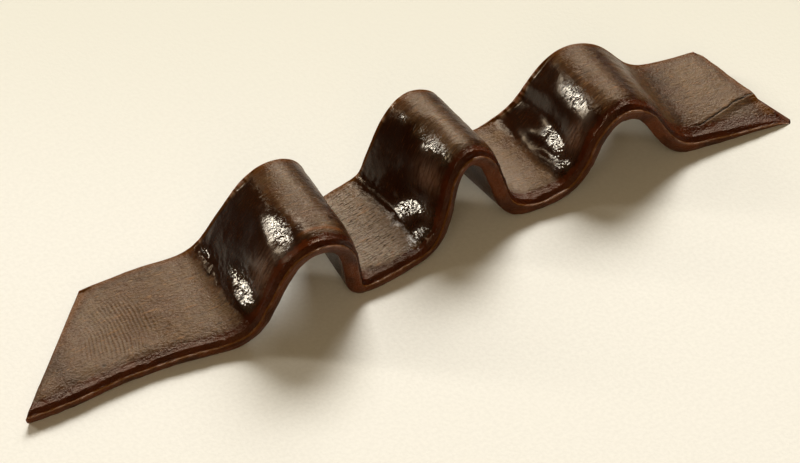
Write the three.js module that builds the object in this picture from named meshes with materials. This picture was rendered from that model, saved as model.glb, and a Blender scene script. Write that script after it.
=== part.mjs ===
// Ribbon candy: one flat strip of dark chewy candy, cut on the slant at both ends and stood up
// in three waves between two flat ends. Millimetres, +Z up, +X along the ribbon, +Y to its back
// edge. The origin is under the middle of the ribbon, on the surface that it rests on.
import * as THREE from 'three';

const degree = Math.PI / 180;

// The strip as it lies flat, before it is folded: x runs along it, y across it from its middle
const stripLength = 141.4;
const stripWidth = 14.7;
const thickness = 2.6;

// The knife cuts: where each crosses the middle line, and its drift along the strip per mm across.
// The rows of points turn from the cut's slant to square over this much of the strip.
const leftCut = { at: 6.4, slant: 0.95 };
const rightCut = { at: 133.5, slant: -0.4 };
const cutReach = 18;

// The front side: the top face rounds over a shoulder to a blunt ridge, and the wall below it
// leans in to the foot, a third of the way by its middle. The back side is upright, with a small
// round above and below.
const shoulderIn = 0.77;
const ridgeHeight = 2.09;
const footIn = 0.72;
const wallIn = footIn / 3;
const backRound = 0.35;

// How far the edges wander (mm) and the strip twists (degrees), as half waves along its length
const frontEdgeWaves = [-0.16, -0.11, -0.07, 0.25, -0.62, -0.07, 0.12, -0.3, -0.37];
const backEdgeWaves = [0.75, 0.04, -0.32, -0.08, -0.63, 0.18, -0.41, 0.06, -0.02];
const twistWaves = [-1.7, -0.1, 2.7, 1.4, -0.3, -2.3];

// The folds in order along the strip: the middle of each, the length of strip that it takes up,
// the turn in degrees (up is positive), and how far the fold line is skewed from square
const folds = [
  { at: 28.9, over: 10.6, turn: 63.2, skew: 2.7 },
  { at: 44.2, over: 18.4, turn: -139.8, skew: -6.6 },
  { at: 58.5, over: 5.6, turn: 84.7, skew: -13.9 },
  { at: 67.8, over: 6.6, turn: 60.8, skew: 2.1 },
  { at: 79.9, over: 14.9, turn: -147.4, skew: 2.8 },
  { at: 91.3, over: 7.7, turn: 73.6, skew: 2.5 },
  { at: 97.6, over: 6, turn: 15.8, skew: 18.2 },
  { at: 100.7, over: 15.9, turn: 59.5, skew: -8.8 },
  { at: 111.4, over: 20.8, turn: -139.8, skew: 2 },
  { at: 120.6, over: 12.2, turn: 62.9, skew: 12.5 },
  { at: 130.5, over: 12.7, turn: 7.4, skew: 0.4 },
];

// Shallow dents pressed into the top face: a finger's print, and the hollow beside it
const dents = [
  { at: 13.1, across: 0.52, reach: 5.5, depth: 0.15 },
  { at: 18.6, across: 0.3, reach: 3.5, depth: 0.25 },
];

// The folded strip is turned this far, to bring its length along X. Being soft, it settles a
// little, so that it lies flat where it touches the surface.
const heading = -5.3;
const settle = 0.1;

// Fineness: the longest step along a flat stretch, the widest turn in one step of a fold, the
// steps across the top face and the underside, the slices that add up a fold's curve, and the
// steps in which the strip is gone over to place the rows of points
const flatStep = 2.5;
const turnStep = 10;
const topSteps = 8;
const undersideSteps = 5;
const foldSlices = 40;
const rowProbe = 0.2;

// A sum of half waves along the strip, the first with one half wave in the whole length
function wave(heights, x) {
  return heights.reduce(
    (sum, height, i) => sum + height * Math.cos(((i + 1) * Math.PI * x) / stripLength),
    0,
  );
}

// How far a fold has turned after a share of its length: slowly at both ends, fast in the middle
function turned(fold, share) {
  return fold.turn * degree * (share - Math.sin(2 * Math.PI * share) / (2 * Math.PI));
}

// The curve that a fold bends the strip's middle layer to, in the fold's own plane
function foldCurve(fold) {
  const slice = fold.over / foldSlices;
  const curve = [{ x: 0, z: 0, angle: 0 }];
  for (let i = 1; i <= foldSlices; i += 1) {
    const last = curve[i - 1];
    const angle = turned(fold, (i - 0.5) / foldSlices);
    curve.push({
      x: last.x + slice * Math.cos(angle),
      z: last.z + slice * Math.sin(angle),
      angle: turned(fold, i / foldSlices),
    });
  }
  return curve;
}

const foldCurves = folds.map(foldCurve);

// A place on a fold's curve after a share of its length, between the slices on either side
function onCurve(curve, share) {
  const slices = share * foldSlices;
  const i = Math.min(Math.floor(slices), foldSlices - 1);
  const [from, to] = [curve[i], curve[i + 1]];
  const between = (key) => THREE.MathUtils.lerp(from[key], to[key], slices - i);
  return { x: between('x'), z: between('z'), angle: between('angle') };
}

// Bends a point about a fold. The strip before the fold stays where it is, the strip in the fold
// follows the curve, and all that lies past it swings round with the curve's end.
function bend(point, fold, curve) {
  const cos = Math.cos(fold.skew * degree);
  const sin = Math.sin(fold.skew * degree);
  const along = (point.x - fold.at) * cos + point.y * sin + fold.over / 2;
  const across = point.y * cos - (point.x - fold.at) * sin;
  const inFold = THREE.MathUtils.clamp(along, 0, fold.over);
  const past = along - inFold;
  const { x, z, angle } = onCurve(curve, inFold / fold.over);
  const bentX = x + past * Math.cos(angle) - point.z * Math.sin(angle) - fold.over / 2;
  const bentZ = z + past * Math.sin(angle) + point.z * Math.cos(angle);
  point.set(fold.at + bentX * cos - across * sin, bentX * sin + across * cos, bentZ);
}

// How deep the dents are at a point of the top face
function dentDepth(x, share) {
  return dents.reduce((sum, dent) => {
    const away = Math.hypot(x - dent.at, (share - dent.across) * stripWidth) / dent.reach;
    return sum + (away < 1 ? dent.depth * (0.5 + 0.5 * Math.cos(Math.PI * away)) : 0);
  }, 0);
}

// Once round the cross-section, from the front foot up, over the top face, down the back and
// along the underside. A point lies a share of the way from the front edge to the back one,
// moved back by some mm, at a height above the underside.
function crossSection() {
  const shoulderHeight = thickness - ridgeHeight;
  const ring = [
    { share: 0, back: footIn, height: 0 },
    { share: 0, back: wallIn, height: ridgeHeight / 2 },
    { share: 0, back: 0, height: ridgeHeight },
    {
      share: 0,
      back: shoulderIn * (1 - Math.SQRT1_2),
      height: ridgeHeight + shoulderHeight * Math.SQRT1_2,
    },
  ];
  for (let i = 0; i <= topSteps; i += 1) {
    const share = i / topSteps;
    const back = THREE.MathUtils.lerp(shoulderIn, -backRound, share);
    ring.push({ share, back, height: thickness, top: true });
  }
  ring.push({ share: 1, back: 0, height: thickness - backRound });
  ring.push({ share: 1, back: 0, height: backRound });
  for (let i = 0; i < undersideSteps; i += 1) {
    const share = 1 - i / undersideSteps;
    ring.push({ share, back: THREE.MathUtils.lerp(footIn, -backRound, share), height: 0 });
  }
  return ring;
}

// Where the rows of points cross the strip's middle: closer together where it bends more
function rowPlaces() {
  const efforts = [0];
  for (let x = leftCut.at; x < rightCut.at; x += rowProbe) {
    const bending = folds.reduce((sum, fold) => {
      const share = THREE.MathUtils.clamp((x - fold.at) / fold.over + 0.5, 0, 1);
      const rate = (1 - Math.cos(2 * Math.PI * share)) / fold.over;
      return sum + Math.abs(fold.turn) * rate;
    }, 0);
    efforts.push(efforts[efforts.length - 1] + rowProbe * (1 / flatStep + bending / turnStep));
  }
  const rows = Math.ceil(efforts[efforts.length - 1]);
  const places = [];
  let i = 0;
  for (let row = 0; row <= rows; row += 1) {
    const effort = (row / rows) * efforts[efforts.length - 1];
    while (i < efforts.length - 2 && efforts[i + 1] < effort) {
      i += 1;
    }
    const part = (effort - efforts[i]) / (efforts[i + 1] - efforts[i]);
    const share = (i + part) / (efforts.length - 1);
    places.push(THREE.MathUtils.lerp(leftCut.at, rightCut.at, share));
  }
  return places;
}

// A row is square across the strip, and turns to a cut's slant as it comes near to that cut
function alongStrip(place, y) {
  const nearLeft = Math.max(0, 1 - (place - leftCut.at) / cutReach);
  const nearRight = Math.max(0, 1 - (rightCut.at - place) / cutReach);
  return place + y * (leftCut.slant * nearLeft + rightCut.slant * nearRight);
}

// A point of the cross-section at one row, carried through the dents, the twist and the folds
function ribbonPoint(place, { share, back, height, top }) {
  const x = alongStrip(place, (share - 0.5) * stripWidth + back);
  const front = wave(frontEdgeWaves, x) - stripWidth / 2;
  const rear = wave(backEdgeWaves, x) + stripWidth / 2;
  const point = new THREE.Vector3(
    x,
    THREE.MathUtils.lerp(front, rear, share) + back,
    height - thickness / 2 - (top ? dentDepth(x, share) : 0),
  );
  const twist = wave(twistWaves, x) * degree;
  const { y, z } = point;
  point.y = y * Math.cos(twist) - z * Math.sin(twist);
  point.z = y * Math.sin(twist) + z * Math.cos(twist);
  for (let i = folds.length - 1; i >= 0; i -= 1) {
    bend(point, folds[i], foldCurves[i]);
  }
  point.applyAxisAngle(new THREE.Vector3(0, 0, 1), heading * degree);
  point.z = Math.max(0, point.z + thickness / 2 - settle);
  return point;
}

// The skin of the ribbon: rows of cross-sections joined by quads, and a fan over each cut end
function ribbonGeometry() {
  const ring = crossSection();
  const rows = rowPlaces();
  const points = rows.flatMap((place) => ring.map((corner) => ribbonPoint(place, corner)));
  const index = [];
  const last = rows.length - 1;
  for (let row = 0; row < last; row += 1) {
    for (let i = 0; i < ring.length; i += 1) {
      const next = (i + 1) % ring.length;
      const here = row * ring.length;
      const ahead = here + ring.length;
      index.push(here + i, ahead + i, ahead + next);
      index.push(here + i, ahead + next, here + next);
    }
  }
  const core = { share: 0.5, back: 0, height: thickness / 2 };
  [0, last].forEach((row) => {
    const centre = points.push(ribbonPoint(rows[row], core)) - 1;
    for (let i = 0; i < ring.length; i += 1) {
      const next = (i + 1) % ring.length;
      const pair = row === 0 ? [i, next] : [next, i];
      index.push(centre, row * ring.length + pair[0], row * ring.length + pair[1]);
    }
  });
  const geometry = new THREE.BufferGeometry().setFromPoints(points);
  geometry.setIndex(index);
  return geometry;
}

// Brings the middle of the ribbon's outer box over the origin
function centred(geometry) {
  geometry.computeBoundingBox();
  const middle = geometry.boundingBox.getCenter(new THREE.Vector3());
  return geometry.translate(-middle.x, -middle.y, 0);
}

const candy = new THREE.MeshStandardMaterial({ color: 0x4a2817, roughness: 0.42, metalness: 0 });
const ribbon = new THREE.Mesh(centred(ribbonGeometry()), candy);
ribbon.name = 'ribbon';

const ribbonCandy = new THREE.Group();
ribbonCandy.add(ribbon);

export default ribbonCandy;
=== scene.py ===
"""Ribbon candy, dressed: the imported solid's strip again with its fine relief, in dark glossy candy.

Lengths in the tables below are in mm. The mesh is made in metres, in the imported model's frame: +X
along the ribbon, +Y to its back edge, +Z up from the surface it rests on. The strip's cuts, section,
waves, folds and heading, and the camera, are a least-squares fit to the photo, rounded.
"""
import functools
import math

import bpy
import numpy as np
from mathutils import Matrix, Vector


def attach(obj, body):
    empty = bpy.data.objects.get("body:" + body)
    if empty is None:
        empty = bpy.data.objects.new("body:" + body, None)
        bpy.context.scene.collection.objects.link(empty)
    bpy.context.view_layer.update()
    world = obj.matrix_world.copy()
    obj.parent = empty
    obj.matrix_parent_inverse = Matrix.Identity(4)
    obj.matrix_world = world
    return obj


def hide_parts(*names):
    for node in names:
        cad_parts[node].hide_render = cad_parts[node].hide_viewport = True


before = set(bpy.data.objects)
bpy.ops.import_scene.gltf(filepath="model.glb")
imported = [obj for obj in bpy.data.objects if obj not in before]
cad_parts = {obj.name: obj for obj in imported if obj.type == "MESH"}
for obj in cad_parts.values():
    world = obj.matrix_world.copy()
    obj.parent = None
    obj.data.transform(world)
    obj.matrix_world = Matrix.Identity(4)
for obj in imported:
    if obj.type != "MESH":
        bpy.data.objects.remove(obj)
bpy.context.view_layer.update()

MM = 0.001

# The strip as it lies flat: x along it, y across it from its middle
STRIP_LENGTH = 141.4
STRIP_WIDTH = 14.7
THICKNESS = 2.6

# Each knife cut: where it crosses the middle line, and its drift along the strip per mm across. The
# rows of points turn from a cut's slant to square over the reach.
LEFT_CUT = (6.4, 0.95)
RIGHT_CUT = (133.5, -0.4)
CUT_REACH = 18.0

# The front side: shoulder, blunt ridge and leaning wall, hollow by the power of its curve; the back
# side: upright, with small rounds
SHOULDER_IN = 0.77
RIDGE_HEIGHT = 2.09
FOOT_IN = 0.72
WALL_CURVE = 1.58
BACK_ROUND = 0.12

# Places round the section, from 0 at the front foot up, over the top face, down the back and along
# the underside to the front foot again
RIDGE, RIM, BACK_RIM, BACK_FOOT, ROUND_AGAIN = range(1, 6)

# Half waves along the strip: front edge and back edge in mm, twist in degrees
FRONT_EDGE_WAVES = (-0.16, -0.11, -0.07, 0.25, -0.62, -0.07, 0.12, -0.3, -0.37)
BACK_EDGE_WAVES = (0.75, 0.04, -0.32, -0.08, -0.63, 0.18, -0.41, 0.06, -0.02)
TWIST_WAVES = (-1.7, -0.1, 2.7, 1.4, -0.3, -2.3)

# The folds: the middle of each, the length it takes up, its turn and its skew in degrees
FOLDS = (
    (28.9, 10.6, 63.2, 2.7),
    (44.2, 18.4, -139.8, -6.6),
    (58.5, 5.6, 84.7, -13.9),
    (67.8, 6.6, 60.8, 2.1),
    (79.9, 14.9, -147.4, 2.8),
    (91.3, 7.7, 73.6, 2.5),
    (97.6, 6.0, 15.8, 18.2),
    (100.7, 15.9, 59.5, -8.8),
    (111.4, 20.8, -139.8, 2.0),
    (120.6, 12.2, 62.9, 12.5),
    (130.5, 12.7, 7.4, 0.4),
)

# The folded strip is turned this far (degrees) to bring its length along X, and settles this much
HEADING = -5.3
SETTLE = 0.1

# The front corner at the right end is drawn out to a thin tip: how far (mm), from how far back,
# and over what share of the width
TIP_PULL = 1.7
TIP_REACH = 5.0
TIP_SHARE = 0.22

# The strip thins out towards that tip: falling-off shares of its thickness with their reaches (mm)
TIP_THINNING = ((0.26, 9.0), (0.55, 1.5))

# The back corner of the same cut is rounded off by this much (mm), over the last share of the width
CORNER_CUT = 0.5
CORNER_SHARE = 0.92

# Places on the top face are given as x (mm) and the share of the way from the front rim to the
# back one, and reaches in mm along and across. These are dents: place, reach all round and depth.
DENTS = ((13.1, 0.52, 5.5, 0.15), (18.6, 0.3, 3.5, 0.25))

# The finger's print: the place and reaches of its patch, the far-off middle of its arched ridges
# (x and mm across), their spacing and their height
PRINT_PATCH = (14.6, 0.46, 5.4, 5.6)
PRINT_MIDDLE = (-2.0, 1.5)
PRINT_SPACING = 0.49
PRINT_HEIGHT = 0.056

# The knife slit near the right end: x and shares of its bends, where it has come to its full depth,
# that depth, its width, and its two lips: how far off they lie, how wide and how high they are
SLIT = (
    (124.3, 126.0, 127.5, 129.0, 130.3, 131.5, 133.0, 134.6),
    (0.10, 0.11, 0.15, 0.19, 0.22, 0.26, 0.285, 0.30),
)
SLIT_FULL = 126.5
SLIT_DEPTH = 0.10
SLIT_WIDTH = 0.11
SLIT_LIPS = ((0.4, 0.4, 0.05), (-0.3, 0.2, 0.03))

# The stretched amber line on the first crest: x and shares of its bends, its width and height
STRETCH_LINE = ((42.0, 43.5, 44.8, 46.4), (0.12, 0.13, 0.118, 0.10))
STRETCH_WIDTH = 0.25
STRETCH_HEIGHT = 0.035

# The flat right end: where it begins, and the low swelling in its middle: place, reach along it,
# reach as a share of the width, and height
END_PAD = (122.5, 124.5)
END_SWELLING = (128.6, 0.64, 3.4, 0.34, 0.30)

# The top face sinks towards its back rim and its cuts: depth, reach, and how much more at the cut
# of the flat right end
BACK_SINK = (0.12, 1.0)
CUT_SINK = (0.16, 1.3, 0.10)

# The front shoulder sinks this much, and more where it is wider. It rolls in over the top face this
# far: everywhere, and wider at some places (x, reach along it, mm more).
SHOULDER_SINK = 0.44
WIDER_SINK = 0.15
SHOULDER_ROLL = 1.4
WIDE_SHOULDERS = (
    (57.2, 2.4, 0.9), (90.5, 2.0, 0.4), (121.5, 2.6, 1.0), (128.5, 4.5, 1.4), (33.5, 2.5, -0.6),
    (61.8, 2.4, -0.5), (68.5, 2.8, -0.85), (101.5, 2.6, -0.85),
)

# Gentle rolls of the surface near the folds: x, share, reach along and across, the slope along and
# across at the middle of each, and how much it bulges along the strip there (1/mm). Most slopes
# and bulges are a least-squares fit, rounded, to where the photo's glints and dark stretches lie.
ROLLS = (
    (32.9, 0.25, 2.3, 3.4, -0.48, 0.05, -0.13), (37.0, 0.62, 3.4, 4.5, -0.07, 0.0, 0.0),
    (40.8, 0.74, 2.0, 4.5, 0.02, -0.16, -0.06), (41.4, 0.24, 1.3, 3.0, 0.34, -0.03, -0.18),
    (67.8, 0.1, 1.9, 2.0, -0.04, -0.23, 0.46), (69.8, 0.31, 2.0, 2.6, -0.57, -0.24, 0.26),
    (72.6, 0.84, 2.6, 3.0, -0.09, 0.0, 0.0), (77.6, 0.3, 1.3, 2.6, -0.18, -0.04, 0.0),
    (77.6, 0.62, 1.2, 2.6, -0.04, 0.21, 0.0), (100.0, 0.34, 1.2, 2.6, -0.33, -0.08, 0.17),
    (100.9, 0.11, 1.8, 1.8, -0.32, -0.1, 0.25), (101.8, 0.76, 2.4, 4.5, -0.13, -0.31, 0.23),
    (102.4, 0.32, 2.1, 2.8, -0.22, -0.18, -0.01), (107.6, 0.82, 1.8, 3.5, 0.08, -0.12, -0.16),
    (108.2, 0.4, 1.2, 3.0, -0.01, 0.0, -0.17),
)

# The wet, glassy stretches: from and to in x at the front rim, how far both shift by the back, and
# how gently they begin and end. Their dry patches, listed below, are this much less wet.
WET_STRETCHES = ((30.2, 42.9, -1.3), (66.6, 78.2, -0.8), (98.9, 109.2, -0.2))
WET_START = (-1.6, 1.4)
WET_END = (-1.4, 1.2)
DRY_PATCH_LOSS = 0.55

# Patches: place and reaches. Stippled with small bumps that glint; part dry, with a painted paler
# sheen; without shine; lumpy.
STIPPLES = (
    (32.4, 0.12, 0.9, 1.0), (33.1, 0.24, 1.1, 1.5), (33.8, 0.36, 0.8, 1.1), (32.9, 0.47, 0.6, 1.2),
    (30.7, 0.86, 0.3, 1.0), (41.1, 0.30, 0.8, 2.1), (67.8, 0.10, 1.9, 1.0), (69.2, 0.35, 2.0, 1.6),
    (70.6, 0.15, 1.1, 1.6), (69.9, 0.53, 0.3, 0.4), (77.6, 0.30, 0.8, 1.7), (77.6, 0.52, 0.5, 0.8),
    (77.5, 0.78, 0.3, 0.5), (77.6, 0.13, 0.6, 0.7), (100.9, 0.11, 1.2, 0.8),
    (101.9, 0.23, 1.2, 0.9), (102.9, 0.36, 1.1, 1.1), (102.9, 0.47, 1.0, 0.5),
    (108.3, 0.43, 0.6, 2.1),
)
DRY_SHEEN_PATCHES = ((36.6, 0.14, 2.6, 2.4), (74.9, 0.22, 1.6, 2.6), (105.0, 0.17, 1.8, 1.6))
DULL_PATCHES = ((40.6, 0.04, 1.0, 0.8), (107.5, 0.10, 1.0, 1.2))
LUMPY_PATCHES = ((30.6, 0.72, 1.5, 4.2), (68.8, 0.84, 1.4, 3.4))

# Tan flecks and dark pits in the skin: place and reaches, and how far they stand out or go in
FLECKS = (
    (12.2, 0.68, 0.6, 0.09), (14.4, 0.43, 1.2, 0.06), (15.8, 0.57, 0.8, 0.12),
    (22.6, 0.55, 1.7, 0.05), (27.0, 0.33, 1.1, 0.06), (9.5, 0.38, 0.8, 0.07),
    (21.3, 0.12, 0.5, 0.18), (20.6, 0.655, 0.35, 0.2), (29.2, 0.90, 0.6, 0.12),
    (26.6, 0.71, 0.7, 0.14), (64.0, 0.63, 0.9, 0.1), (61.2, 0.37, 0.8, 0.07),
    (10.4, 0.55, 1.0, 0.07), (17.6, 0.80, 0.7, 0.08), (19.8, 0.50, 1.1, 0.06),
    (24.4, 0.42, 0.9, 0.06), (100.4, 0.46, 0.4, 0.16), (74.2, 0.75, 0.3, 0.08),
    (111.9, 0.23, 0.25, 0.2), (96.4, 0.30, 0.5, 0.08),
)
PITS = (
    (26.6, 0.155, 0.5, 0.12), (28.2, 0.14, 0.5, 0.07), (11.1, 0.12, 0.3, 0.22),
    (29.2, 0.66, 0.5, 0.35), (23.6, 0.93, 0.4, 0.12), (131.6, 0.40, 0.3, 0.06),
    (46.2, 0.24, 0.3, 0.3), (62.0, 0.27, 0.6, 0.06),
)
FLECK_HEIGHT = 0.015
PIT_DEPTH = 0.06

# Along the strip, x and reach: where the dry skin is clearer and browner, where its bloom is
# painted paler as a sheen, where it is all dark amber, and the dark ragged lines past the crests.
# The grey sheen and the lips' pale highlight, both painted, also have how much.
CLEARER = (
    (48.6, 3.0), (84.4, 2.8), (117.6, 3.4), (43.6, 1.0), (46.4, 0.9), (78.4, 0.8), (80.9, 0.6),
    (110.0, 1.0), (112.7, 0.7),
)
PALER = ((61.0, 4.6), (95.0, 2.4), (129.0, 4.0))
AMBER = ((122.9, 1.9), (6.0, 1.5))
DARK_LINES = ((47.3, 0.55), (81.3, 0.50), (113.2, 0.60))
GREY_SHEEN = (
    (61.2, 4.8, 1.25), (92.6, 2.6, 0.8), (129.0, 4.2, 0.35), (45.0, 0.7, 0.5), (79.7, 0.65, 0.55),
    (111.4, 0.9, 0.2), (12.5, 4.5, 0.3), (26.5, 3.0, 0.3),
)
PALE_LIPS = (
    (44.6, 1.3, 0.8), (81.0, 1.6, 0.8), (96.6, 2.2, 1.0), (112.6, 1.5, 1.0), (123.6, 1.8, 1.0),
    (20.0, 4.0, 0.3),
)

# The first valley's grain, cracked along the strip: where it begins and where it ends
GRAIN_START = (57.0, 60.0)
GRAIN_END = (64.5, 66.5)

# Stretches of the back rim with a thin broken line of painted highlight, under a clear film that
# shines too: from and to in x, how gently they begin and end, and the line's place and width round
# the section
RIM_LINES = ((29.6, 31.2), (37.5, 42.0), (66.5, 69.5), (75.8, 78.6), (98.8, 107.4))
RIM_FADE = (-0.4, 0.6)
RIM_PLACE = (3.01, 0.03)

# Smooth random bumps: how high they are (mm), how long, how wide, and a seed. Those of no end of
# width reach right across. On the sides the width counts in parts of the section.
ACROSS = math.inf
SLOW_LUMPS = ((0.045, 5.3, 4.1, 1), (0.030, 2.3, 1.6, 2))
DRY_STREAKS = ((0.008, 1.3, 0.42, 3),)
GRAIN_STREAKS = ((0.024, 1.3, 0.42, 3),)
DRY_BUMPS = ((0.042, 1.1, 0.9, 16), (0.014, 0.5, 0.42, 14))
WET_BUMPS = ((0.010, 0.8, 0.7, 4), (0.005, 0.35, 0.5, 42))
STIPPLE_BUMPS = ((0.034, 0.45, 0.42, 5), (0.026, 0.9, 0.7, 15))
LUMPY_BUMPS = ((0.06, 0.55, 0.50, 35),)
BACK_SINK_BUMPS = ((0.05, 2.2, ACROSS, 34),)
SHOULDER_SINK_BUMPS = ((0.12, 2.6, ACROSS, 33),)
SHOULDER_BUMPS = ((0.02, 1.9, ACROSS, 21),)
RIDGE_BUMPS = ((0.05, 3.7, ACROSS, 22), (0.06, 0.9, ACROSS, 23))
KNOBBLY_BUMPS = ((0.035, 0.6, 1 / 5, 36), (0.03, 1.5, 1 / 3, 37))
WALL_BUMPS = ((0.07, 3.1, 1 / 2.2, 24), (0.04, 1.1, 1 / 5, 25), (0.018, 0.45, 1 / 9, 40))
BACK_BUMPS = ((0.04, 2.7, 1 / 2, 26), (0.02, 0.9, 1 / 4, 27))

# The same kind of bumps make borders wander (mm) and patches patchy. They also paint shade on
# the dry skin: its bloom is paler on the bumps' tops and the print's ridges, darker in their
# hollows.
STIPPLE_WANDER = ((0.25, 0.8, 0.8, 13),)
WET_WANDER = ((0.5, 1.7, 1.3, 11), (0.3, 0.7, 0.5, 12))
ROLL_WANDER = ((0.3, 1.7, ACROSS, 31), (0.12, 0.6, ACROSS, 32))
SLIT_WANDER = ((0.10, 0.9, ACROSS, 9),)
PRINT_WANDER = ((0.20, 3.1, 2.7, 7), (0.07, 1.2, 1.4, 8))
TATTERS = ((0.35, 0.9, 0.6, 38), (0.25, 0.5, 0.3, 39))
PRINT_PATCHY = ((0.16, 2.2, 2.2, 6),)
LIP_PATCHY = ((0.8, 1.1, ACROSS, 29), (0.5, 0.4, ACROSS, 41))
RIM_PATCHY = ((1.0, 0.45, ACROSS, 30),)
DRY_RELIEF_SHADE = ((0.5, 1.1, 0.9, 16), (0.4, 0.5, 0.42, 14))
PRINT_RELIEF_SHADE = 0.9

# Fineness of the mesh: steps along the strip, finer where the finger's print is; steps round the
# section at places round it; the steps that the section is rounded off in, and over how many; the
# slices that add up a fold's curve
ROW_STEP = 0.178
PRINT_ROW_STEP = 0.11
PRINT_SPAN = (8.5, 21.5)
COLUMN_PLACES = (0, 0.3, 1, 2, 2.04, 2.35, 2.5, 2.96, 3, 3.2, 3.8, 4, 4.1, 4.9, 5)
COLUMN_STEPS = (0.2, 0.28, 0.09, 0.1, 0.15, 0.15, 0.2, 0.2, 0.08, 0.35, 0.35, 0.1, 1.2, 1.2, 0.2)
SECTION_STEP = 0.01
SECTION_ROUNDING = 9
FOLD_SLICES = 400

# Over the cut ends: the size of each ring against the outline of the cut, and the marks of a cut face
CAP_RINGS = (0.96, 0.85, 0.6, 0.3)
CUT_MARKS = {"side": 1.0, "edge": 0.4}

# Patterns in the candy: mm along the strip, round it and inwards, then detail, roughness and
# distortion. The fibres and the grain are finer in real candy. They are drawn as coarse as they
# need to be to show, about two pixels wide.
PATTERNS = {
    "clouds": ((4.0, 3.0, 3.0), 4.0, 0.5, 0.0),  # slow changes of tone
    "streaks": ((2.0, 0.32, 1.0), 3.0, 0.6, 0.3),  # drawn out as the strip was pulled
    "dashes": ((1.2, 0.16, 1.0), 1.0, 0.5, 0.0),  # short fibres and cracks
    "skin": ((0.42, 0.28, 0.4), 3.0, 0.6, 0.0),  # leathery grain
    "drops": ((0.40, 0.32, 0.4), 1.0, 0.4, 0.0),  # the stipple's own fine bumps
}
SKIN_BUMP = 0.06

# The sheet it lies on: half its side (m), and the pale rounded rectangle in its middle (mm): its
# centre, half sizes, turn in degrees, the power that squares its corners, and where it falls off
# (in half sizes) to a dim tone, painted shade that stands for the dark room that the glassy sides
# mirror. The sheet's tooth (mm) is finer in real card, and drawn as coarse as it needs to be to show.
FLOOR_HALF = 1.2
PALE_CENTRE = (2.8, 0.3)
PALE_HALF = (51.5, 47.5)
PALE_TURN = -29.8
PALE_SQUARENESS = 12.0
PALE_FADE = (0.96, 1.16)
TOOTH_SIZE = 0.5
TOOTH_HEIGHT = 0.04

# The camera looks at this point of the frame (mm) from this far, at these angles (degrees)
CAMERA_TARGET = (2.8, 0.34, -0.1)
CAMERA_AZIMUTH = -29.83
CAMERA_ELEVATION = 43.6
CAMERA_DISTANCE = 1213.2
CAMERA_LENS = 453.1
SENSOR_WIDTH = 36.0

# Each lamp: azimuth and elevation in degrees, distance and size in m, power in W, and colour. An
# azimuth is counted from the front, so 150 is behind the ribbon as the camera sees it.
LIGHTS = {
    "soft_back": (151, 46, 4.0, (1.9, 1.5), 134.0, "#fffaf0"),  # the main light, broad and soft
    "soft_low": (137, 34, 4.0, (1.8, 1.3), 66.0, "#fffaf0"),  # beside it, lower and weaker
    "key_left": (-135, 25, 1.5, (0.12, 0.46), 4.5, "#fff6e4"),  # narrow, mirrored by the stipple
    "key_high": (-135, 41.5, 1.5, (0.13, 0.13), 0.9, "#fff6e4"),  # a small one above it
    "fill_front": (-30, 40, 1.5, (1.0, 1.0), 4.5, "#ffe2b8"),  # warm, from the camera's side
}
ROOM_COLOUR = "#ffdca0"
ROOM_STRENGTH = 0.09


def wave(heights, x):
    """A sum of half waves along the strip, the first with one half wave in the whole length."""
    return sum(h * np.cos((i + 1) * math.pi * x / STRIP_LENGTH) for i, h in enumerate(heights))


def smooth(low, high, value):
    """0 below low, 1 above high, an S curve between them. With low above high it falls instead."""
    t = np.clip((value - low) / (high - low), 0.0, 1.0)
    return t * t * (3.0 - 2.0 * t)


def hill(away):
    """1 in the middle, falling to nothing at about twice the distance 1."""
    return np.exp(-(away**2))


def noise(x, y, seed):
    """Smooth random heights from about -1 to 1: a random slope at every whole number of x and y,
    joined by S curves. The shift in y keeps a row that is read along y = 0 off the level points."""
    turns = np.random.default_rng(seed).uniform(0.0, 2 * math.pi, (256, 256))
    y = y + 0.37
    i, j = np.floor(x).astype(int), np.floor(y).astype(int)
    u, v = x - i, y - j

    def corner(right, up):
        turn = turns[(i + right) % 256, (j + up) % 256]
        return np.cos(turn) * (u - right) + np.sin(turn) * (v - up)

    across = smooth(0, 1, u)
    low = corner(0, 0) * (1 - across) + corner(1, 0) * across
    high = corner(0, 1) * (1 - across) + corner(1, 1) * across
    return 1.6 * (low + (high - low) * smooth(0, 1, v))


def bumps(layers, x, y):
    """Layers of smooth random heights added up, each with its height, its length along x, its width
    along y and its seed."""
    return sum(height * noise(x / long, y / wide, seed) for height, long, wide, seed in layers)


def bend(points, fold):
    """Bends points about a fold: those in it follow a curve that turns slowly at both ends and
    fast in the middle, and those past it swing round with the curve's end."""
    at, over, turn, skew = fold
    cos, sin = math.cos(math.radians(skew)), math.sin(math.radians(skew))
    share = np.linspace(0.0, 1.0, FOLD_SLICES + 1)
    angle = math.radians(turn) * (share - np.sin(2 * math.pi * share) / (2 * math.pi))
    middle = (angle[1:] + angle[:-1]) / 2
    curve_x = np.concatenate([[0.0], np.cumsum(np.cos(middle))]) * over / FOLD_SLICES
    curve_z = np.concatenate([[0.0], np.cumsum(np.sin(middle))]) * over / FOLD_SLICES
    along = (points[..., 0] - at) * cos + points[..., 1] * sin + over / 2
    across = points[..., 1] * cos - (points[..., 0] - at) * sin
    inside = np.clip(along, 0.0, over)
    past = along - inside
    a = np.interp(inside / over, share, angle)
    z = points[..., 2]
    bent_x = np.interp(inside / over, share, curve_x) + past * np.cos(a) - z * np.sin(a) - over / 2
    bent_z = np.interp(inside / over, share, curve_z) + past * np.sin(a) + z * np.cos(a)
    return np.stack([at + bent_x * cos - across * sin, bent_x * sin + across * cos, bent_z], -1)


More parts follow.
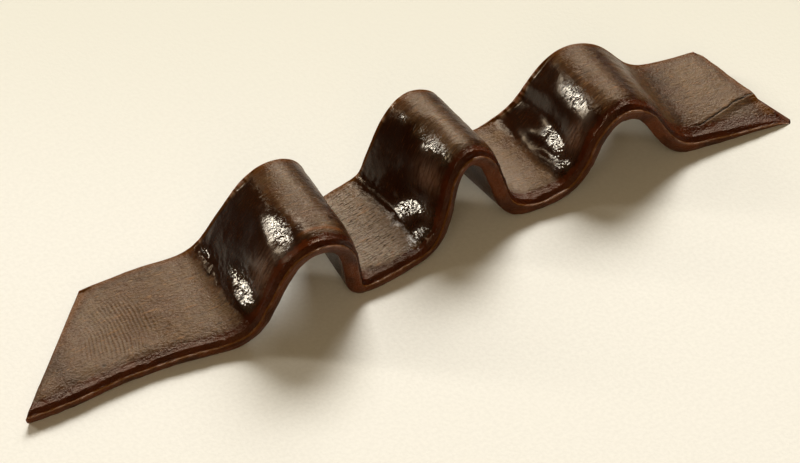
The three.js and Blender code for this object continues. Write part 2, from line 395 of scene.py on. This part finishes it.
def folded(x, y, z):
    """The strip's flat places (z from its middle layer) carried through twist, folds and heading,
    then raised onto the surface and let down by its settling."""
    twist = np.radians(wave(TWIST_WAVES, x))
    points = np.stack(
        [x, y * np.cos(twist) - z * np.sin(twist), y * np.sin(twist) + z * np.cos(twist)], -1
    )
    for fold in reversed(FOLDS):
        points = bend(points, fold)
    cos, sin = math.cos(math.radians(HEADING)), math.sin(math.radians(HEADING))
    flat = points[..., :2] @ np.array([[cos, sin], [-sin, cos]])
    up = np.maximum(points[..., 2] + THICKNESS / 2 - SETTLE, 0.0)
    return np.concatenate([flat, up[..., None]], -1)


def section():
    """Once round the cross-section: share across, mm back of that, height, and the place round it,
    with mm round it as well. The corners of the solid's section are joined, then rounded off by a
    running average along the outline, and columns are picked from it at their own steps."""
    t = np.linspace(0.0, 1.0, 200)
    # Wall, shoulder, top face, back with a round in its first and its last ninth, and underside
    parts = (
        (0 * t, FOOT_IN * (1 - t) ** WALL_CURVE, RIDGE_HEIGHT * t),
        (0 * t, SHOULDER_IN * t, RIDGE_HEIGHT + (THICKNESS - RIDGE_HEIGHT) * smooth(0.1, 1, t)),
        (t, SHOULDER_IN + (-BACK_ROUND - SHOULDER_IN) * t, THICKNESS + 0 * t),
        (
            1 + 0 * t,
            -BACK_ROUND * (np.clip(1 - 9 * t, 0, 1) + np.clip(9 * t - 8, 0, 1)),
            np.interp(t, [0, 1 / 9, 8 / 9, 1], [THICKNESS, THICKNESS - BACK_ROUND, BACK_ROUND, 0]),
        ),
        (1 - t, -BACK_ROUND + (FOOT_IN + BACK_ROUND) * t, 0 * t),
    )
    outline = np.concatenate([np.stack([*p, t + i], 1)[:-1] for i, p in enumerate(parts)])
    closed = np.concatenate([outline, outline[:1] + [0, 0, 0, ROUND_AGAIN]])
    flat = np.stack([closed[:, 0] * STRIP_WIDTH + closed[:, 1], closed[:, 2]], 1)
    length = np.concatenate([[0], np.cumsum(np.linalg.norm(np.diff(flat, axis=0), axis=1))])
    even = np.arange(0.0, length[-1], SECTION_STEP)
    fine = np.stack([np.interp(even, length, closed[:, k]) for k in range(4)], 1)
    reach = SECTION_ROUNDING
    kernel = np.hanning(2 * reach + 1)
    kernel /= kernel.sum()
    rounded = fine.copy()
    for k in range(3):
        wrapped = np.concatenate([fine[-reach:, k], fine[:, k], fine[:reach, k]])
        rounded[:, k] = np.convolve(wrapped, kernel, "valid")
    step = np.interp(rounded[:, 3], COLUMN_PLACES, COLUMN_STEPS)
    columns = np.concatenate([[0], np.cumsum(SECTION_STEP / step)])
    count = int(columns[-2])
    order = np.arange(len(rounded))
    pick = np.interp(np.arange(count) * columns[-2] / count, columns[:-1], order)
    ring = np.stack([np.interp(pick, order, rounded[:, k]) for k in range(4)], 1)
    return ring, pick * SECTION_STEP


def outward(ring):
    """The section's outward direction (across, up) at each column: the way from the column before
    to the one after it, turned by a quarter."""
    place = np.stack([ring[:, 0] * STRIP_WIDTH + ring[:, 1], ring[:, 2]], 1)
    along = np.roll(place, -1, 0) - np.roll(place, 1, 0)
    side = np.stack([-along[:, 1], along[:, 0]], 1)
    return side / np.linalg.norm(side, axis=1, keepdims=True)


def rows():
    """Where the rows cross the strip's middle line: the number of steps is added up along it, with
    shorter steps over the finger's print, and divided evenly."""
    probe = np.linspace(LEFT_CUT[0], RIGHT_CUT[0], 4000)
    start, end = PRINT_SPAN
    inside = smooth(start - 1, start, probe) - smooth(end, end + 1, probe)
    density = 1 / (ROW_STEP + (PRINT_ROW_STEP - ROW_STEP) * inside)
    total = np.concatenate([[0], np.cumsum((density[1:] + density[:-1]) / 2 * np.diff(probe))])
    return np.interp(np.linspace(0, total[-1], int(total[-1]) + 1), total, probe)


def dent_depth(x, share):
    """How deep the dents are: half a cosine wave from the middle of each to its reach."""
    depth = 0 * x
    for at, across, reach, deep in DENTS:
        away = np.hypot(x - at, (share - across) * STRIP_WIDTH) / reach
        depth = depth + np.where(away < 1, deep * (0.5 + 0.5 * np.cos(math.pi * away)), 0)
    return depth


def from_line(line, x, share):
    """mm across from a line of bends, and how surely x lies within its ends: an S curve up at its
    first bend, times one down at its last."""
    xs, shares = (np.array(c) for c in line)
    off = (share - np.interp(x, xs, shares)) * STRIP_WIDTH
    return off, smooth(xs[0] - 0.3, xs[0] + 1.2, x) * smooth(xs[-1] + 0.3, xs[-1] - 0.5, x)


def from_cut(x, y, cut, way):
    """mm from a knife cut, towards the strip's middle."""
    at, slant = cut
    return way * (x - (at + slant * y)) / math.hypot(1, slant)


def spots(places, x, share, sharp=1.0):
    """1 in the middle of each listed spot (x, share, reach along, reach across), 0 away from it:
    a hill over the distance in reaches, with a flatter top and steeper sides where it is sharper."""
    total = 0 * x
    for at, across, along, wide in places:
        away = ((x - at) / along) ** 2 + ((share - across) * STRIP_WIDTH / wide) ** 2
        total = np.maximum(total, np.exp(-(away**sharp)))
    return total


def hills(places, x):
    """Hills along the strip added up: x and reach of each, and how high it is if not 1."""
    return sum(math.prod(high) * hill((x - at) / reach) for at, reach, *high in places)


def rolls(x, share):
    """mm that the gentle rolls lift the skin: a slope and a bulge in the middle of each, times a
    hill that levels them out again."""
    total = 0 * x
    for at, across, along, wide, slope_x, slope_y, bulge in ROLLS:
        dx, dy = x - at, (share - across) * STRIP_WIDTH
        lift = slope_x * dx + slope_y * dy - bulge * dx**2 / 2
        total = total + lift * hill(dx / along) * hill(dy / wide)
    return total


def wetness(x, share):
    """1 on the glassy rising stretches, 0 on the satin ones, with a ragged border: an S curve up
    where each stretch begins and down where it ends, less in its dry patches."""
    wander = bumps(WET_WANDER, x, share * STRIP_WIDTH)
    wet = 0 * x
    for start, end, shift in WET_STRETCHES:
        moved = x - shift * share + wander
        begun = smooth(start + WET_START[0], start + WET_START[1], moved)
        over = smooth(end + WET_END[0], end + WET_END[1], moved)
        wet = np.maximum(wet, begun - over)
    return wet * (1 - DRY_PATCH_LOSS * spots(DRY_SHEEN_PATCHES, x + wander, share))


def print_ridges(x, y, share):
    """The finger's print, from -1 in its furrows to 1 on its ridges, and 0 outside its patch: a
    cosine of the distance to a middle far off, which wanders a little."""
    at, across, along, wide = PRINT_PATCH
    away = np.hypot((x - at) / along, (share - across) * STRIP_WIDTH / wide)
    patch = smooth(1.15, 0.6, away + bumps(PRINT_PATCHY, x, y))
    radius = np.hypot(x - PRINT_MIDDLE[0], y - PRINT_MIDDLE[1]) + bumps(PRINT_WANDER, x, y)
    return patch * np.cos(2 * math.pi * radius / PRINT_SPACING)


def top_relief(x, y, share, top, wet):
    """mm that the top face's skin stands out, and its marks for the material.

    Added up: slow lumps, rolls and dents; streaks and bumps where it is dry, finer ones where it is
    wet and coarser ones in the stippled and lumpy patches; the finger's print; the slit, a narrow
    furrow with a raised lip on either side; the stretched line, flecks and pits."""
    dry = top * (1 - wet)
    stipple = spots(STIPPLES, x + bumps(STIPPLE_WANDER, x, y), share) * top
    grain = (smooth(*GRAIN_START, x) - smooth(*GRAIN_END, x)) * top
    out = top * (bumps(SLOW_LUMPS, x, y) + rolls(x, share) - dent_depth(x, share))
    out += dry * (bumps(DRY_STREAKS + DRY_BUMPS, x, y) + grain * bumps(GRAIN_STREAKS, x, y))
    out += wet * bumps(WET_BUMPS, x, y) + stipple * bumps(STIPPLE_BUMPS, x, y)
    out += top * spots(LUMPY_PATCHES, x, share) * bumps(LUMPY_BUMPS, x, y)

    ridges = print_ridges(x, y, share) * top
    out += PRINT_HEIGHT * ridges

    slit_off, within = from_line(SLIT, x, share)
    slit_off = slit_off + bumps(SLIT_WANDER, x, y)
    slit_deep = within * smooth(SLIT[0][0], SLIT_FULL, x) * top
    out -= slit_deep * SLIT_DEPTH * hill(slit_off / SLIT_WIDTH)
    for off, wide, high in SLIT_LIPS:
        out += slit_deep * high * hill((slit_off - off) / wide)

    line_off, within = from_line(STRETCH_LINE, x, share)
    stretched = within * top * hill(line_off / STRETCH_WIDTH)
    flecks = spots(FLECKS, x, share, 2.0) * top
    pits = spots(PITS, x, share, 1.5) * top
    out += STRETCH_HEIGHT * stretched + FLECK_HEIGHT * flecks - PIT_DEPTH * pits

    # The bloom is thinner where the skin is clearer, and thicker where it is paler, a painted sheen.
    # There is none where the candy is amber, as it is on the front side of the slit.
    tatters = bumps(TATTERS, x, y)
    amber = hills(AMBER, x) + 0.8 * slit_deep * smooth(-0.2, -1.2, slit_off)
    bloom = (0.8 - 0.25 * hills(CLEARER, x) + 0.4 * hills(PALER, x)) * (1 - 0.8 * amber)
    return out, {
        "wet": wet,
        "stipple": stipple,
        "grain": grain,
        "dull": spots(DULL_PATCHES, x, share, 1.5) * top,
        # patch sheen: painted sheen over the dry patches
        "patch_sheen": spots(DRY_SHEEN_PATCHES, x + tatters, share) * top,
        "dark": top * sum(hill((x - at + tatters) / reach) for at, reach in DARK_LINES),
        "bloom": dry * bloom,
        # grey sheen: painted sheen on the valleys, the crests and the flats
        "grey_sheen": dry * hills(GREY_SHEEN, x),
        # relief shade: painted shade and highlight that follow the print's ridges and the dry bumps
        "relief_shade": top * (PRINT_RELIEF_SHADE * ridges + bumps(DRY_RELIEF_SHADE, x, y)),
        "slit_off": np.clip(slit_off, -2, 2),
        "slit_deep": slit_deep,
        "stretched": stretched,
        "fleck": flecks,
        "pit": pits,
        "top": top,
    }


def edge_relief(x, y, share, around, top, wet):
    """mm that the top face stands out near its back rim and its cuts, where it sinks, mm that the
    front shoulder sinks straight down, and the marks of the edges.

    Each is a hill over the distance from its edge. The flat right end also swells in its middle.
    The thin clear edge is narrower where it is wet."""
    front, rear = share * STRIP_WIDTH, (1 - share) * STRIP_WIDTH
    cuts = np.minimum(from_cut(x, y, LEFT_CUT, 1), from_cut(x, y, RIGHT_CUT, -1))
    end_pad = smooth(*END_PAD, x)
    depth, reach = BACK_SINK
    out = -top * (depth + bumps(BACK_SINK_BUMPS, x, y)) * hill(rear / reach)
    depth, reach, more = CUT_SINK
    out -= top * (depth + more * end_pad) * hill(cuts / reach)
    at, across, along, wide, high = END_SWELLING
    out += top * end_pad * high * hill((x - at) / along) * hill((share - across) / wide)

    wider = hills(WIDE_SHOULDERS, x)
    roll = SHOULDER_ROLL + wider + bumps(ROLL_WANDER, x, y)
    before_back = around < (BACK_RIM + BACK_FOOT) / 2
    sink = hill(np.maximum(front, 0) / roll) * np.clip(around, 0, RIDGE) * before_back
    deeper = bumps(SHOULDER_SINK_BUMPS, x, y) + WIDER_SINK * np.minimum(wider, 1)
    sink = sink * (SHOULDER_SINK + deeper)

    # The shoulder's dark band, partly painted shade where the shoulder turns from the lights, goes
    # three quarters of the roll's way in over the top face
    rolled = np.where(around < RIM, 1.0, hill(np.maximum(front, 0) / (0.75 * roll)))
    nearest = np.minimum(np.minimum(np.maximum(front, 0), np.maximum(rear, 0)), np.maximum(cuts, 0))
    # The back rim's thin broken line of painted highlight
    rim = sum(
        smooth(start + RIM_FADE[0], start + RIM_FADE[1], x)
        * smooth(end - RIM_FADE[0], end - RIM_FADE[1], x)
        for start, end in RIM_LINES
    )
    place, wide = RIM_PLACE
    rim = rim * smooth(-0.3, 0.4, bumps(RIM_PATCHY, x, y)) * hill((around - place) / wide)
    return out, sink, {
        "band": smooth(RIDGE + 0.15, RIDGE + 0.45, around) * rolled,
        # How near an edge: amber is painted there for the light shining through the thin candy
        "edge": np.exp(-nearest / (0.95 - 0.45 * wet)),
        "rim": rim,
    }


def side_relief(x, y, around):
    """mm that the skin stands out beside the top face, and its marks: a ridge with a pale broken
    lip, a ragged shoulder that is let in above it, knobbly skin from the wall over the ridge to the
    rim, and slow lumps on the wall and the back. Each is a hill or two S curves round the section
    times its bumps."""
    # How pale the lip is painted, a highlight along it; the lip is raised a little there too
    pale = np.clip(hills(PALE_LIPS, x) - 0.05 + bumps(LIP_PATCHY, x, y), 0, 1)
    ridge = hill((around - RIDGE - 0.05) / 0.13)
    shoulder = smooth(RIDGE + 0.15, RIDGE + 0.4, around) * smooth(RIM + 0.05, RIM - 0.25, around)
    knobbly = smooth(RIDGE - 0.3, RIDGE + 0.1, around) * smooth(RIM + 0.3, RIM - 0.1, around)
    wall = smooth(RIDGE + 0.02, RIDGE - 0.1, around)
    wall = wall + smooth(ROUND_AGAIN - 0.02, ROUND_AGAIN, around)
    back = smooth(BACK_RIM, BACK_RIM + 0.12, around) * smooth(BACK_FOOT, BACK_FOOT - 0.1, around)
    out = ridge * (bumps(RIDGE_BUMPS, x, y) + 0.09 * pale - 0.02)
    out -= shoulder * (0.04 + bumps(SHOULDER_BUMPS, x, y))
    out += knobbly * bumps(KNOBBLY_BUMPS, x, around)
    out += wall * bumps(WALL_BUMPS, x, around) + back * bumps(BACK_BUMPS, x, around)
    return out, {"side": wall, "back": back, "ridge": ridge * pale}


def surface():
    """The strip's whole skin as rows x columns of points in mm, its places on the flat strip
    (x, mm round the section), and its marks. Each point of the section is carried along the strip,
    drawn out or rounded off at the right cut, thinned towards the tip, moved outward by the relief
    and let down by the sinking shoulder, then twisted and folded."""
    ring, round_mm = section()
    side = outward(ring)
    place = rows()[:, None]
    share, back, height, around = (ring[None, :, k] + 0 * place for k in range(4))
    y0 = (share - 0.5) * STRIP_WIDTH + back
    pull = TIP_PULL * smooth(0, TIP_REACH, place - RIGHT_CUT[0] + TIP_REACH) ** 2
    pull = pull * smooth(TIP_SHARE, 0.0, share) * (1 - 0.5 * height / THICKNESS)
    near_cut = smooth(CUT_REACH / 4, 0, RIGHT_CUT[0] - place)
    corner = np.clip((share - CORNER_SHARE) / (1 - CORNER_SHARE), 0, 1) ** 2
    pull = pull - CORNER_CUT * near_cut * corner
    left = np.maximum(0, 1 - (place - LEFT_CUT[0]) / CUT_REACH)
    right = np.maximum(0, 1 - (RIGHT_CUT[0] - place) / CUT_REACH)
    x = place + y0 * (LEFT_CUT[1] * left + RIGHT_CUT[1] * right) + pull
    front = wave(FRONT_EDGE_WAVES, x) - STRIP_WIDTH / 2
    rear = wave(BACK_EDGE_WAVES, x) + STRIP_WIDTH / 2
    y = front + (rear - front) * share + back
    from_tip = np.hypot(RIGHT_CUT[0] - place, share * STRIP_WIDTH)
    thin = sum(much * np.exp(-from_tip / reach) for much, reach in TIP_THINNING)
    thin = thin * smooth(0.25, -1.3, from_line(SLIT, x, share)[0])

    top = smooth(RIM - 0.08, RIM + 0.02, around) - smooth(BACK_RIM - 0.03, BACK_RIM + 0.03, around)
    wet = wetness(x, share) * top
    top_out, marks = top_relief(x, y, share, top, wet)
    edge_out, sink, edge_marks = edge_relief(x, y, share, around, top, wet)
    side_out, side_marks = side_relief(x, y, around)
    out = (top_out + edge_out + side_out) * (1 - thin)
    z = (height - sink) * (1 - thin) - THICKNESS / 2
    points = folded(x, y + side[:, 0] * out, z + side[:, 1] * out)
    plain = folded(x - pull, y, height * (1 - thin) - THICKNESS / 2)[..., :2].reshape(-1, 2)
    points[..., :2] -= (plain.min(0) + plain.max(0)) / 2
    flat = np.stack([x, round_mm[None, :] + 0 * x, 0 * x], -1)
    return points, flat, {**marks, **edge_marks, **side_marks}


def skin_mesh():
    """The skin as one closed mesh: rows of quads round the strip, and over each cut end rings
    that draw in to the section's middle, closed by a fan. Its places on the flat strip and its
    marks are attributes of the points."""
    points, flat, marks = surface()
    count, columns = points.shape[:2]
    index = np.arange(count * columns).reshape(count, columns)
    ahead = np.roll(index, -1, 1)
    faces = np.stack([index[:-1], index[1:], ahead[1:], ahead[:-1]], -1).reshape(-1, 4).tolist()
    cloud = [points.reshape(-1, 3)]
    flats = [flat.reshape(-1, 3)]
    values = {name: [np.broadcast_to(v, index.shape).ravel()] for name, v in marks.items()}
    total = count * columns
    for row, flip in ((0, False), (count - 1, True)):
        loop, last = points[row], index[row]
        heart = loop.mean(0)
        for shrink in CAP_RINGS:
            ids = total + np.arange(columns)
            total += columns
            cloud.append(heart + (loop - heart) * shrink)
            flats.append(flat[row] + [0, 0, 1 - shrink])
            for name in values:
                values[name].append(np.full(columns, CUT_MARKS.get(name, 0.0)))
            a, b, c, d = last, np.roll(last, -1), np.roll(ids, -1), ids
            quads = np.stack([d, c, b, a] if flip else [a, b, c, d], -1)
            faces += quads.tolist()
            last = ids
        cloud.append(heart[None])
        flats.append(flat[row].mean(0)[None])
        for name in values:
            values[name].append(np.full(1, CUT_MARKS.get(name, 0.0)))
        for a, b in zip(last.tolist(), np.roll(last, -1).tolist()):
            faces.append((b, a, total) if flip else (a, b, total))
        total += 1
    mesh = bpy.data.meshes.new("ribbon_candy")
    mesh.from_pydata((np.concatenate(cloud) * MM).tolist(), [], faces)
    mesh.polygons.foreach_set("use_smooth", np.ones(len(mesh.polygons), bool))
    mesh.attributes.new("strip", "FLOAT_VECTOR", "POINT").data.foreach_set(
        "vector", np.concatenate(flats).astype(np.float32).ravel()
    )
    for name, parts in values.items():
        mesh.attributes.new(name, "FLOAT", "POINT").data.foreach_set(
            "value", np.concatenate(parts).astype(np.float32)
        )
    mesh.update()
    return mesh


def linear(colour):
    """A #rrggbb colour as linear light."""
    parts = [int(colour[i : i + 2], 16) / 255 for i in (1, 3, 5)]
    return [c / 12.92 if c <= 0.04045 else ((c + 0.055) / 1.055) ** 2.4 for c in parts]


def new_material(name):
    """An empty node material, its tree and its output node."""
    material = bpy.data.materials.new(name)
    material.use_nodes = True
    tree = material.node_tree
    tree.nodes.clear()
    return material, tree, tree.nodes.new("ShaderNodeOutputMaterial")


def add(tree, kind, inputs=(), output=0, **settings):
    """Adds a node with its settings, and gives back one of its outputs. Its inputs are listed in
    their order, or given by name or number: each is a value, a #rrggbb colour or another node's
    output."""
    node = tree.nodes.new("ShaderNode" + kind)
    for name, value in settings.items():
        setattr(node, name, value)
    for name, value in inputs.items() if isinstance(inputs, dict) else enumerate(inputs):
        if isinstance(value, bpy.types.NodeSocket):
            tree.links.new(value, node.inputs[name])
        elif isinstance(value, str):
            node.inputs[name].default_value = (*linear(value), 1)
        else:
            node.inputs[name].default_value = value
    return node.outputs[output]


def amount(tree, *terms):
    """Terms added up, each the product of its factors. A factor is a number, a node's output, or a
    tuple of an output and the range of it that an S curve stretches over 0 to 1, or over a range
    that the tuple gives as well."""
    total = 0.0
    for term in terms:
        product = 1.0
        for factor in term:
            if isinstance(factor, tuple):
                factor = add(tree, "MapRange", factor, interpolation_type="SMOOTHSTEP")
            product = add(tree, "Math", (product, factor), operation="MULTIPLY")
        total = add(tree, "Math", (total, product), operation="ADD")
    return total


def layered(tree, colour, *layers):
    """Colours laid over a first one, each given with the factors of its share. In a mix of colours
    inputs 6 and 7 are the two colours, and output 2 is the mixed one."""
    for over, *factors in layers:
        inputs = {0: amount(tree, factors), 6: colour, 7: over}
        colour = add(tree, "Mix", inputs, output=2, data_type="RGBA")
    return colour


def cloudy(tree, place, size, detail, roughness=0.5, distortion=0.0):
    """A cloudy pattern with features of about size along each axis of the place it is read at."""
    inputs = {
        "Vector": add(tree, "Mapping", {"Vector": place, "Scale": [1 / s for s in size]}),
        "Scale": 1.0,
        "Detail": detail,
        "Roughness": roughness,
        "Distortion": distortion,
    }
    return add(tree, "TexNoise", inputs)


def candy_material():
    """Dark chewy candy: sugar and molasses boiled down, pulled while warm and cut with a knife.
    That gives the eye a near black glass where it is wet, satin skin with a dull tan bloom where it
    has dried, and streaks along the pull, with flecks and fine bumps. Painted on it as well are light
    and shade: amber at the thin edges for light shining through them, sheen on the bloom, highlights
    on the lip and the back rim, and shade on the shoulder, in the slit and in the relief's hollows."""
    material, tree, output = new_material("candy")
    node = functools.partial(add, tree)
    strip = node("Attribute", output="Vector", attribute_name="strip")
    names = (
        "wet", "stipple", "grain", "dull", "patch_sheen", "dark", "bloom", "grey_sheen", "relief_shade", "slit_off",
        "slit_deep", "stretched", "fleck", "pit", "top", "band", "edge", "rim", "side", "back",
        "ridge",
    )
    mark = {name: node("Attribute", output="Fac", attribute_name=name) for name in names}
    clouds, streaks, dashes, skin, drops = (
        cloudy(tree, strip, *pattern) for pattern in PATTERNS.values()
    )

    # The skin's grain makes the borders of the wet stretches and of the shoulder ragged
    ragged = amount(tree, (skin, 1.2), (-0.6,))
    wet = amount(tree, [(amount(tree, (mark["wet"],), (ragged, 0.6)), 0.08, 0.92)])
    band = amount(tree, [(amount(tree, (mark["band"],), (ragged,)), 0.25, 0.65)])
    dry = amount(tree, (mark["top"],), (mark["top"], wet, -1.0))
    from_slit = node("Math", (mark["slit_off"],), operation="ABSOLUTE")
    slit = amount(tree, [(from_slit, 0.05, 0.16, 1.0, 0.0), mark["slit_deep"]])
    # The slit is painted near black, painted shade in its furrow; the pits are painted dark too
    holes = node("Math", (slit, amount(tree, (mark["pit"], 0.9))), operation="MAXIMUM")
    upright = node("Math", (band, amount(tree, (mark["back"], 0.85))), operation="MAXIMUM")
    level = amount(tree, (1.0,), (upright, -1.0))

    satin = layered(tree, "#40210c", ("#2c1406", (clouds, 0.38, 0.62)))
    glassy = layered(tree, "#1f0a03", ("#5a3210", (dashes, 0.62, 0.72), 0.35))
    walls = layered(tree, "#612e0d", ("#411c07", (clouds, 0.36, 0.64)))
    # The shoulder's darker red-brown: partly the candy's own, partly painted shade where it turns
    # from the lights
    shoulder = layered(tree, "#3a1506", ("#4c200a", (clouds, 0.4, 0.6)))
    bloom = [
        mark["bloom"],
        (streaks, 0.30, 0.60, 0.40, 1.0),
        (clouds, 0.36, 0.6, 0.6, 1.0),
        (mark["edge"], 0.10, 0.60, 1.0, 0.1),
        # painted shade: less bloom in the relief's hollows, more on its tops
        (mark["relief_shade"], -1.0, 1.0, 0.6, 1.3),
    ]
    colour = layered(
        tree,
        satin,
        ("#664b2f", *bloom),  # tan bloom of the dry skin, partly painted sheen and shade
        ("#8d7e70", mark["grey_sheen"], (skin, 0.35, 0.6, 0.4, 0.9)),  # painted grey sheen over it
        ("#8f6742", (dashes, 0.64, 0.72), dry, 0.7),  # light fibres
        ("#2a0f05", mark["dark"], 0.85),  # lines past the crests
        ("#2a1608", (dashes, 0.42, 0.34), mark["grain"]),  # cracks of the first valley
        ("#8c6238", mark["fleck"], 0.6),
        (glassy, wet, 0.85),
        ("#7b5c4c", mark["patch_sheen"], (streaks, 0.35, 0.6, 0.15, 0.6)),  # painted sheen on the dry patches in the wet
        ("#643a0c", (mark["edge"], 0.25, 0.95), level, 0.9),  # amber painted at thin edges, for light shining through them
        (walls, mark["side"]),
        (shoulder, band, 0.9),
        ("#94705c", mark["ridge"], 0.85),  # pale lip along the front: painted highlight
        ("#c09a7c", mark["rim"], 0.9),  # painted highlight along the back rim
        ("#140602", holes),
        ("#80481a", mark["stretched"], 0.6),
    )

    roughness = amount(
        tree,
        [(clouds, 0.3, 0.7, 0.29, 0.37)],
        (wet, -0.13),
        (mark["dull"], 0.3),
        (band, -0.10),
        (mark["side"], 0.1),
    )
    furrows = amount(tree, (0.9,), (mark["grain"], 1.6))
    height = amount(
        tree,
        (skin, (wet, 0.0, 1.0, 2.4, 0.25)),
        (streaks, furrows, dry),
        (drops, mark["stipple"], 1.7),
    )
    bump = node("Bump", {"Height": height, "Strength": 1.0, "Distance": SKIN_BUMP * MM})

    # The skin is satin, so it mirrors about half of what a sugar glass does. Only small wet patches
    # glint: the clear film lies on the stipple, on the rim's painted highlight and thinly on the
    # lip's painted highlight. It mirrors more than a film of sugar does, so that glints as small as
    # these come out white.
    film = amount(tree, (mark["stipple"], 0.95))
    for more in (amount(tree, (mark["ridge"], 0.22)), mark["rim"]):
        film = node("Math", (film, more), operation="MAXIMUM")
    shader = node(
        "BsdfPrincipled",
        {
            "Base Color": colour,
            "Roughness": roughness,
            "IOR": 1.45,
            "Specular IOR Level": 0.24,
            "Specular Tint": "#ffe6c4",
            "Subsurface Weight": 0.2,
            "Subsurface Radius": (1.0, 0.32, 0.1),
            "Subsurface Scale": 0.7 * MM,
            "Coat Weight": film,
            "Coat Roughness": 0.06,
            "Coat IOR": 2.4,
            "Coat Normal": bump,
            "Normal": bump,
        },
    )
    tree.links.new(shader, output.inputs["Surface"])
    return material


def floor_piece():
    """A flat sheet of pale card with a faint tooth: matt, and white near the ribbon. It dims over
    the distance from its middle: x and y in half sizes of the pale rectangle, raised to a high
    power, added up and rooted."""
    material, tree, output = new_material("pale_sheet")
    node = functools.partial(add, tree)
    place = node("TexCoord", output="Object")
    tooth = cloudy(tree, place, [TOOTH_SIZE * MM] * 3, 3.0)
    bump = node("Bump", {"Height": tooth, "Strength": 0.6, "Distance": TOOTH_HEIGHT * MM})
    rectangle = {
        "Vector": place,
        "Location": (PALE_CENTRE[0] * MM, PALE_CENTRE[1] * MM, 0),
        "Rotation": (0, 0, math.radians(PALE_TURN)),
        "Scale": (PALE_HALF[0] * MM, PALE_HALF[1] * MM, 1),
    }
    local = node("Mapping", rectangle, vector_type="TEXTURE")
    x, y = (node("SeparateXYZ", (local,), output=axis) for axis in "XY")
    powers = []
    for off in (x, y):
        size = node("Math", (off,), operation="ABSOLUTE")
        powers.append([node("Math", (size, PALE_SQUARENESS), operation="POWER")])
    away = node("Math", (amount(tree, *powers), 1 / PALE_SQUARENESS), operation="POWER")
    # Painted shade: past the pale rectangle the sheet dims to a painted dark, and it is a shade
    # darker towards its back
    colour = layered(
        tree,
        "#eeefec",
        ("#f3f4f1", (tooth, 0.3, 0.7)),
        ("#e6e7df", (y, -0.2, 1.1)),
        ("#38332a", (away, *PALE_FADE)),
    )
    shader = node(
        "BsdfPrincipled",
        {"Base Color": colour, "Roughness": 0.8, "Specular IOR Level": 0.2, "Normal": bump},
    )
    tree.links.new(shader, output.inputs["Surface"])
    mesh = bpy.data.meshes.new("floor")
    h = FLOOR_HALF
    mesh.from_pydata([(-h, -h, 0), (h, -h, 0), (h, h, 0), (-h, h, 0)], [], [(0, 1, 2, 3)])
    mesh.materials.append(material)
    floor = bpy.data.objects.new("floor", mesh)
    bpy.context.collection.objects.link(floor)
    return floor


def towards(azimuth, elevation):
    """The direction that points to an azimuth (0 front, counted towards +X) and elevation."""
    a, e = math.radians(azimuth), math.radians(elevation)
    return Vector((math.sin(a) * math.cos(e), -math.cos(a) * math.cos(e), math.sin(e)))


def aimed(name, data, azimuth, elevation, distance, target):
    """A camera or light at an azimuth, elevation and distance (m) from a target, turned to it."""
    thing = bpy.data.objects.new(name, data)
    thing.location = target + towards(azimuth, elevation) * distance
    thing.rotation_euler = (target - thing.location).to_track_quat("-Z", "Y").to_euler()
    bpy.context.collection.objects.link(thing)
    return thing


def soft_light(name, azimuth, elevation, distance, size, power, colour):
    """A flat rectangular light that faces the ribbon."""
    lamp = bpy.data.lights.new(name, "AREA")
    lamp.shape = "RECTANGLE"
    lamp.size, lamp.size_y = size
    lamp.energy = power
    lamp.color = linear(colour)
    return aimed(name, lamp, azimuth, elevation, distance, Vector((0, 0, 0)))


ribbon = bpy.data.objects.new("ribbon_candy", skin_mesh())
ribbon.data.materials.append(candy_material())
bpy.context.collection.objects.link(ribbon)
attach(ribbon, "root")
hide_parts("ribbon")
floor_piece()

view = bpy.data.cameras.new("camera")
view.sensor_width = SENSOR_WIDTH
view.lens = CAMERA_LENS
target = Vector(CAMERA_TARGET) * MM
bpy.context.scene.camera = aimed(
    "camera", view, CAMERA_AZIMUTH, CAMERA_ELEVATION, CAMERA_DISTANCE * MM, target
)

for name, settings in LIGHTS.items():
    soft_light(name, *settings)
world = bpy.data.worlds.new("studio")
world.use_nodes = True
room = world.node_tree.nodes["Background"]
room.inputs["Color"].default_value = (*linear(ROOM_COLOUR), 1)
room.inputs["Strength"].default_value = ROOM_STRENGTH
bpy.context.scene.world = world
bpy.context.scene.view_settings.view_transform = "Standard"
